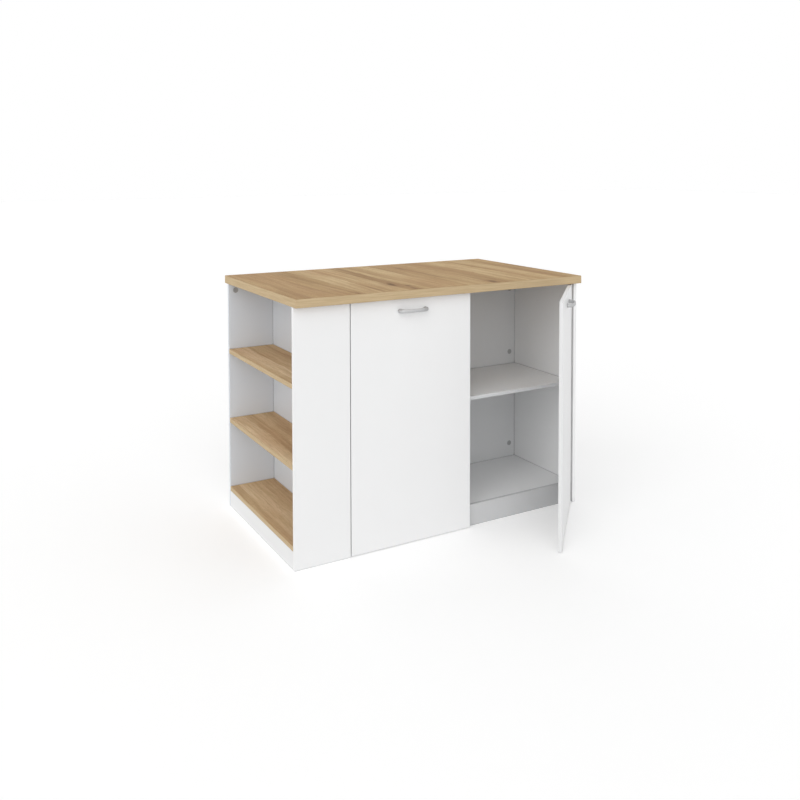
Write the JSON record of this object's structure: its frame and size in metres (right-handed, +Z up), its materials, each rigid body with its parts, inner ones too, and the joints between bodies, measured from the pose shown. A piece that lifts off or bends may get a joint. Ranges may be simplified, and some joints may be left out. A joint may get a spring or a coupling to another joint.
{
  "type": "kitchen island unit",
  "caption": "Free-standing white kitchen island with an oak worktop, an open bay of niches at one end and hinged doors on concealed hinges along the front.",
  "frame": {"origin": "middle of the foot of the middle partition, on the floor", "axes": "+X to the right along the front, +Y from the doors to the back, +Z up"},
  "size_m": [1.12, 0.9787, 0.85],
  "materials": {
    "white_board": "white melamine facing, satin",
    "oak_board": "light oak decor facing, matt",
    "handle_metal": "satin grey",
    "hinge_steel": "nickel plated",
    "cam_zinc": "dull grey zinc"
  },
  "bodies": {
    "carcass": {"worktop": "oak_board", "bay_bottom_board": "oak_board", "bay_shelf_lower": "oak_board", "bay_shelf_upper": "oak_board", "filler_panel": "white_board", "bay_rear_panel": "white_board", "bay_plinth": "white_board", "bay_inner_panel": "white_board", "partition_left": "white_board", "partition_middle": "white_board", "end_panel_right": "white_board", "left_plinth": "white_board", "left_bottom_board": "white_board", "left_back_board": "white_board", "left_shelf": "white_board", "left_hinge_arm_lower": "hinge_steel", "left_hinge_arm_upper": "hinge_steel", "left_shelf_pin_outer_front": "hinge_steel", "left_shelf_pin_outer_back": "hinge_steel", "left_shelf_pin_inner_front": "hinge_steel", "left_shelf_pin_inner_back": "hinge_steel", "left_back_cam_1": "cam_zinc", "left_back_cam_2": "cam_zinc", "left_back_cam_3": "cam_zinc", "right_plinth": "white_board", "right_bottom_board": "white_board", "right_back_board": "white_board", "right_shelf": "white_board", "right_hinge_arm_lower": "hinge_steel", "right_hinge_arm_upper": "hinge_steel", "right_shelf_pin_outer_front": "hinge_steel", "right_shelf_pin_outer_back": "hinge_steel", "right_shelf_pin_inner_front": "hinge_steel", "right_shelf_pin_inner_back": "hinge_steel", "right_back_cam_1": "cam_zinc", "right_back_cam_2": "cam_zinc", "right_back_cam_3": "cam_zinc", "cam_filler_top": "cam_zinc", "cam_bay_rear_top": "cam_zinc"},
    "left_outer_links": {"left_hinge_outer_link_lower": "hinge_steel", "left_hinge_outer_link_upper": "hinge_steel"},
    "left_inner_links": {"left_hinge_inner_link_lower": "hinge_steel", "left_hinge_inner_link_upper": "hinge_steel"},
    "left_door": {"left_door": "white_board", "left_handle": "handle_metal", "left_handle_screw_a": "hinge_steel", "left_handle_screw_b": "hinge_steel", "left_hinge_cup_lower": "hinge_steel", "left_hinge_cup_upper": "hinge_steel"},
    "right_outer_links": {"right_hinge_outer_link_lower": "hinge_steel", "right_hinge_outer_link_upper": "hinge_steel"},
    "right_inner_links": {"right_hinge_inner_link_lower": "hinge_steel", "right_hinge_inner_link_upper": "hinge_steel"},
    "right_door": {"right_door": "white_board", "right_handle": "handle_metal", "right_handle_screw_a": "hinge_steel", "right_handle_screw_b": "hinge_steel", "right_hinge_cup_lower": "hinge_steel", "right_hinge_cup_upper": "hinge_steel"}
  },
  "joints": [
    {"name": "left_outer_link_turn", "type": "hinge", "parent": "carcass", "child": "left_outer_links", "pos_m": [-0.4196, -0.1615, 0], "axis": [0, 0, 1], "range_deg": [-0.05, 31.55]},
    {"name": "left_door_turn", "type": "hinge", "parent": "left_outer_links", "child": "left_door", "pos_m": [-0.4445, -0.1853, 0], "axis": [0, 0, 1], "range_deg": [-121.5, 0]},
    {"name": "left_inner_link_turn", "type": "hinge", "parent": "carcass", "child": "left_inner_links", "pos_m": [-0.4211, -0.1886, 0], "axis": [0, 0, 1], "range_deg": [-0.05, 58.55]},
    {"name": "right_outer_link_turn", "type": "hinge", "parent": "carcass", "child": "right_outer_links", "pos_m": [0.4196, -0.1615, 0], "axis": [0, 0, 1], "range_deg": [-15.24, 16.36]},
    {"name": "right_door_turn", "type": "hinge", "parent": "right_outer_links", "child": "right_door", "pos_m": [0.43681, -0.19134, 0], "axis": [0, 0, 1], "range_deg": [-62.91, 58.59]},
    {"name": "right_inner_link_turn", "type": "hinge", "parent": "carcass", "child": "right_inner_links", "pos_m": [0.4211, -0.1886, 0], "axis": [0, 0, 1], "range_deg": [-28.26, 30.34]}
  ],
  "couplings": [
    {"joint": "left_outer_link_turn", "follows": "left_door_turn", "ratio": -0.25926},
    {"joint": "left_inner_link_turn", "follows": "left_door_turn", "ratio": -0.48148},
    {"joint": "right_outer_link_turn", "follows": "right_door_turn", "ratio": -0.25926},
    {"joint": "right_inner_link_turn", "follows": "right_door_turn", "ratio": -0.48148}
  ]
}
